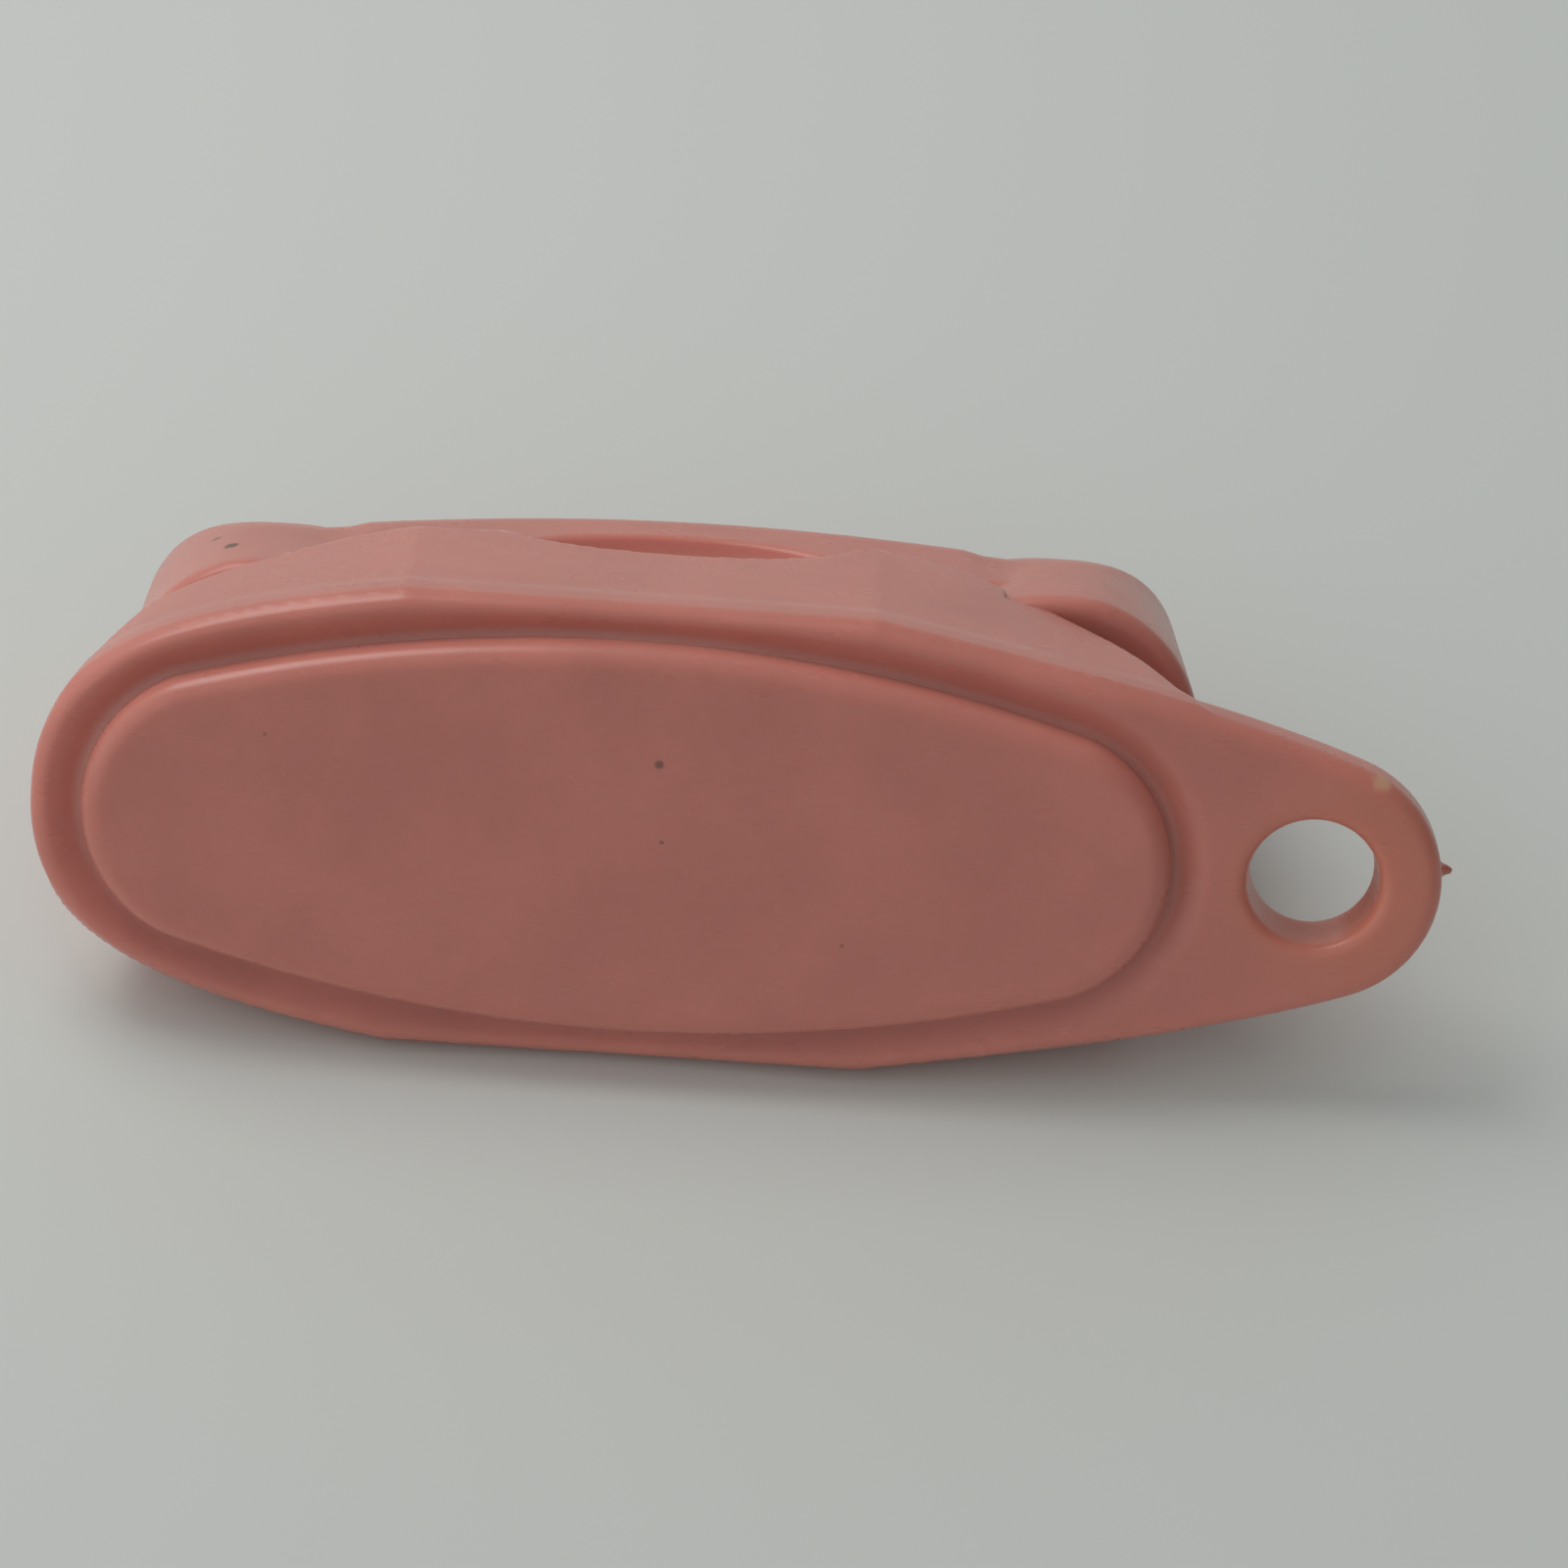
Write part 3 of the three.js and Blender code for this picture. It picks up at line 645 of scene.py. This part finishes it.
class Shading:
    """Small helper for building a node material in the telephone's own millimetres."""

    def __init__(self, name):
        self.material = bpy.data.materials.new(name)
        self.material.use_nodes = True
        self.nodes = self.material.node_tree.nodes
        self.links = self.material.node_tree.links
        self.shader = self.nodes["Principled BSDF"]
        coordinates = self.nodes.new("ShaderNodeTexCoord")
        mapping = self.nodes.new("ShaderNodeMapping")
        mapping.vector_type = "TEXTURE"
        mapping.inputs["Location"].default_value = PHONE.translation
        mapping.inputs["Rotation"].default_value = PHONE.to_euler()
        mapping.inputs["Scale"].default_value = (MM, MM, MM)
        self.links.new(coordinates.outputs["Object"], mapping.inputs["Vector"])
        self.place = mapping.outputs["Vector"]

    def noise(self, size, detail=2.0, roughness=0.5, stretch=(1, 1, 1)):
        """Noise whose lumps are about this many millimetres across."""
        scaled = self.nodes.new("ShaderNodeVectorMath")
        scaled.operation = "MULTIPLY"
        scaled.inputs[1].default_value = stretch
        self.links.new(self.place, scaled.inputs[0])
        texture = self.nodes.new("ShaderNodeTexNoise")
        texture.inputs["Scale"].default_value = 1 / size
        texture.inputs["Detail"].default_value = detail
        texture.inputs["Roughness"].default_value = roughness
        self.links.new(scaled.outputs["Vector"], texture.inputs["Vector"])
        return texture.outputs["Fac"]

    def remap(self, value, start, end, low=0.0, high=1.0):
        node = self.nodes.new("ShaderNodeMapRange")
        node.interpolation_type = "SMOOTHSTEP"
        self.links.new(value, node.inputs["Value"])
        for key, number in (("From Min", start), ("From Max", end), ("To Min", low), ("To Max", high)):
            node.inputs[key].default_value = number
        return node.outputs["Result"]

    def mixed(self, factor, below, above):
        """Two colours mixed; each is a colour or the output of another mix."""
        node = self.nodes.new("ShaderNodeMix")
        node.data_type = "RGBA"
        self.links.new(factor, node.inputs["Factor"])
        for socket, colour in ((node.inputs[6], below), (node.inputs[7], above)):
            if isinstance(colour, tuple):
                socket.default_value = (*colour, 1)
            else:
                self.links.new(colour, socket)
        return node.outputs[2]

    def spot(self, centre, radius, blur):
        """1 within a radius of a point, fading to 0, with a ragged edge."""
        distance = self.nodes.new("ShaderNodeVectorMath")
        distance.operation = "DISTANCE"
        distance.inputs[1].default_value = centre
        self.links.new(self.place, distance.inputs[0])
        ragged = self.nodes.new("ShaderNodeMath")
        ragged.operation = "MULTIPLY_ADD"
        self.links.new(self.noise(radius, 3.0, 0.7), ragged.inputs[0])
        ragged.inputs[1].default_value = radius
        self.links.new(distance.outputs["Value"], ragged.inputs[2])
        return self.remap(ragged.outputs["Value"], 1.5 * radius + blur, 1.5 * radius - blur)

    def bump(self, height, strength, millimetres, below=None):
        """A relief of this depth, on top of the one below."""
        node = self.nodes.new("ShaderNodeBump")
        node.inputs["Strength"].default_value = strength
        node.inputs["Distance"].default_value = millimetres * MM
        self.links.new(height, node.inputs["Height"])
        if below is not None:
            self.links.new(below, node.inputs["Normal"])
        return node.outputs["Normal"]


BROWN = (0.15, 0.055, 0.025)
GREY = (0.16, 0.075, 0.06)
STRAW = (0.72, 0.42, 0.27)
# painted glow: a warm tint standing for light that passes through thin plastic
PAINTED_GLOW = (0.68, 0.235, 0.16)
# painted highlight: a pale colour for glints of light
PAINTED_GLINT = (0.80, 0.50, 0.42)


def plastic(name, colour, spots=()):
    """Soft pink moulding plastic: uneven in tone, a little waxy, with light passing into thin edges; the
    spots lay marks and painted light on its colour.
    """
    shading = Shading(name)
    paler = tuple(c * 1.05 for c in colour)
    deeper = tuple(c * 0.95 for c in colour)
    tone = shading.remap(shading.noise(5.5, 3.0, 0.55), 0.3, 0.7)
    look = shading.mixed(tone, deeper, paler)
    mottle = shading.remap(shading.noise(0.5, 4.0, 0.65), 0.35, 0.75, 0.0, 0.08)
    look = shading.mixed(mottle, look, tuple(c * 0.72 for c in colour))
    for centre, radius, blur, strength, tint in spots:
        mark_and_painted_light = shading.remap(shading.spot(centre, radius, blur), 0.0, 1.0, 0.0, strength)
        look = shading.mixed(mark_and_painted_light, look, tint)
    shader, links = shading.shader, shading.links
    links.new(look, shader.inputs["Base Color"])
    smears = shading.noise(3.2, 4.0, 0.6, (0.5, 1.6, 1.0))
    links.new(shading.remap(smears, 0.3, 0.75, 0.26, 0.32), shader.inputs["Roughness"])
    shader.inputs["IOR"].default_value = 1.49
    shader.inputs["Subsurface Weight"].default_value = 0.5
    shader.inputs["Subsurface Radius"].default_value = (1.0, 0.35, 0.2)
    shader.inputs["Subsurface Scale"].default_value = 1.4 * MM
    sinks = shading.bump(shading.noise(3.0, 1.5, 0.4), 0.25, 0.05)
    grain = shading.bump(shading.noise(0.22, 4.0, 0.6), 0.12, 0.008, sinks)
    links.new(grain, shader.inputs["Normal"])
    return shading.material


# ---- camera, floor and light ----

LENS = 202.5  # in millimetres, on a sensor 36 mm wide
# The picture's own axes (across, down, into it) along the telephone, towards its rear and up
PICTURE_ACROSS = (0.9975, 0.0655, 0.0253)
PICTURE_DOWN = (0.0702, -0.9375, -0.3409)
PICTURE_INTO = (-0.0014, -0.3418, 0.9398)
TELEPHONE_FROM_EYE = (-5.39589613, 1.82016923, 300.45232516)  # along those axes, in millimetres


def make_camera():
    """The view of the photograph: from the front and above, down onto the underside."""
    camera = bpy.data.objects.new("camera", bpy.data.cameras.new("camera"))
    bpy.context.scene.collection.objects.link(camera)
    camera.data.sensor_width = 36
    camera.data.lens = LENS
    camera.data.clip_start = 0.01
    right = phone_direction(*PICTURE_ACROSS)
    down = phone_direction(*PICTURE_DOWN)
    into = phone_direction(*PICTURE_INTO)
    shift = TELEPHONE_FROM_EYE
    eye = PHONE.translation - MM * (right * shift[0] + down * shift[1] + into * shift[2])
    axes = Matrix((right, -down, -into)).transposed().to_4x4()
    camera.matrix_world = Matrix.Translation(eye) @ axes
    bpy.context.scene.camera = camera


def phone_direction(across, rearward, upward):
    """A direction along the telephone, towards its rear and up, in the row frame."""
    return (PHONE.to_3x3() @ Vector((across, -rearward, upward))).normalized()


FLOOR_REACH = 1.2
FLOOR_COLOUR = (0.72, 0.73, 0.71, 1)


def make_floor(top):
    """A plain pale card under the fob."""
    mesh = bpy.data.meshes.new("floor")
    corners = [(x * FLOOR_REACH, y * FLOOR_REACH, top) for x, y in ((-1, -1), (1, -1), (1, 1), (-1, 1))]
    mesh.from_pydata(corners, [], [(0, 1, 2, 3)])
    floor = bpy.data.objects.new("floor", mesh)
    bpy.context.scene.collection.objects.link(floor)
    material = bpy.data.materials.new("floor_card")
    material.use_nodes = True
    shader = material.node_tree.nodes["Principled BSDF"]
    shader.inputs["Base Color"].default_value = FLOOR_COLOUR
    shader.inputs["Roughness"].default_value = 0.7
    mesh.materials.append(material)


WINDOW_PLACE = Vector((-0.075, 0.05, 0.15))
WINDOW_TARGET = Vector((0, 0, 0.005))
WINDOW_SIZE = 0.1
WINDOW_POWER = 0.083
WINDOW_COLOUR = (1.0, 0.985, 0.96)
ROOM_COLOUR = (0.95, 1.0, 0.98, 1)
ROOM_LEFT = 0.84
ROOM_RIGHT = 0.08


def make_window():
    """A round soft light above the left side and a little behind."""
    data = bpy.data.lights.new("window", "AREA")
    data.shape = "DISK"
    data.size = WINDOW_SIZE
    data.energy = WINDOW_POWER
    data.color = WINDOW_COLOUR
    light = bpy.data.objects.new("window", data)
    light.location = WINDOW_PLACE
    light.rotation_euler = (WINDOW_TARGET - WINDOW_PLACE).to_track_quat("-Z", "Y").to_euler()
    bpy.context.scene.collection.objects.link(light)


def make_room():
    """A pale surround that is dimmer on the right."""
    world = bpy.data.worlds.new("room")
    world.use_nodes = True
    nodes, links = world.node_tree.nodes, world.node_tree.links
    coordinates = nodes.new("ShaderNodeTexCoord")
    parts = nodes.new("ShaderNodeSeparateXYZ")
    links.new(coordinates.outputs["Generated"], parts.inputs["Vector"])
    share = nodes.new("ShaderNodeMapRange")
    share.inputs["From Min"].default_value = -1.0
    share.inputs["From Max"].default_value = 1.0
    share.inputs["To Min"].default_value = ROOM_LEFT
    share.inputs["To Max"].default_value = ROOM_RIGHT
    links.new(parts.outputs["X"], share.inputs["Value"])
    background = nodes["Background"]
    background.inputs["Color"].default_value = ROOM_COLOUR
    links.new(share.outputs["Result"], background.inputs["Strength"])
    bpy.context.scene.world = world


# ---- the whole ----

PINK = (0.63, 0.225, 0.185)

# Marks and painted light (glow and glints), as centre in telephone axes, radius, blur, strength and colour
RIM_MARKS_AND_PAINTED_LIGHT = (
    # painted glow: a warm tint over the tab stands for light passing through its thin plastic
    ((24.5, 0.0, 0.5), 3.4, 3.0, 0.7, PAINTED_GLOW),
    ((25.5, -3.8, 0.3), 0.34, 0.25, 0.8, STRAW),
    ((28.2, -0.45, 1.25), 0.25, 0.2, 0.5, BROWN),
    ((20.75, 1.7, 0.3), 0.10, 0.08, 0.6, GREY),
    # painted highlights: pale glints along the top edge of the finger recess
    ((-4.8, -7.9, 8.4), 0.4, 0.15, 0.9, PAINTED_GLINT),
    ((-3.2, -7.9, 8.5), 0.3, 0.15, 0.8, PAINTED_GLINT),
    ((6.3, -7.9, 9.0), 0.25, 0.12, 0.7, PAINTED_GLINT),
    ((-9.8, -8.1, 6.0), 0.07, 0.05, 0.6, BROWN),
)
PANEL_MARKS = (
    ((1.0, -3.0, -0.8), 0.15, 0.10, 0.7, GREY),
    ((1.25, -0.2, -0.8), 0.08, 0.05, 0.6, GREY),
    ((7.6, 3.1, -0.8), 0.07, 0.05, 0.5, BROWN),
    ((-12.4, -3.1, -0.8), 0.06, 0.04, 0.5, BROWN),
)
HANDSET_MARKS = (
    ((-14.5, -6.5, 8.8), 0.26, 0.1, 1.0, BROWN),
    ((-15.15, -6.2, 10.4), 0.18, 0.12, 0.7, BROWN),
    ((15.75, -7.0, 7.2), 0.10, 0.06, 0.7, GREY),
)
housing_plastic = plastic("housing_plastic", PINK, RIM_MARKS_AND_PAINTED_LIGHT)
panel_plastic = plastic("panel_plastic", PINK, PANEL_MARKS)
handset_plastic = plastic("handset_plastic", PINK, HANDSET_MARKS)
dial_plastic = plastic("dial_plastic", PINK)

# Grid steps for meshing
COARSE = 0.18
FINE = 0.12

# Rooms: a box in telephone axes that holds each piece with a little to spare
HOUSING_ROOM = ((-21.1, -8.9, -0.5), (28.9, 8.9, 10.2))
PANEL_ROOM = ((-19.5, -8.0, -1.5), (19.5, 8.0, 2.0))
HANDSET_ROOM = ((-19.0, -8.0, 5.7), (20.5, 4.6, 15.9))
DISC_ROOM = ((-3.6, -6.5, 6.0), (5.2, 2.8, 8.6))  # its X counts from the middle of a cap
DIAL_ROOM = ((-3.6, 1.0, 2.0), (4.2, 8.6, 9.4))

piece("housing_shell", housing, HOUSING_ROOM, COARSE, "housing", housing_plastic)
piece("underside_panel", base_plate, PANEL_ROOM, COARSE, "base_plate", panel_plastic)
piece("handset_moulding", handset, HANDSET_ROOM, COARSE, "handset", handset_plastic)
for side, node in ((-1, "earpiece_disc"), (1, "mouthpiece_disc")):
    room = [(side * CAP_SPACING + x, y, z) for x, y, z in DISC_ROOM]
    piece(node + "_pierced", cap_disc(side), room, FINE, node, handset_plastic)
for node, field in (("dial_plate", dial_plate), ("dial_wheel", dial_wheel), ("dial_centre", dial_centre)):
    piece(node + "_detailed", field, DIAL_ROOM, FINE, node, dial_plastic)

make_camera()
make_floor(cad_box[0][2])
make_window()
make_room()
bpy.context.scene.view_settings.view_transform = "Standard"
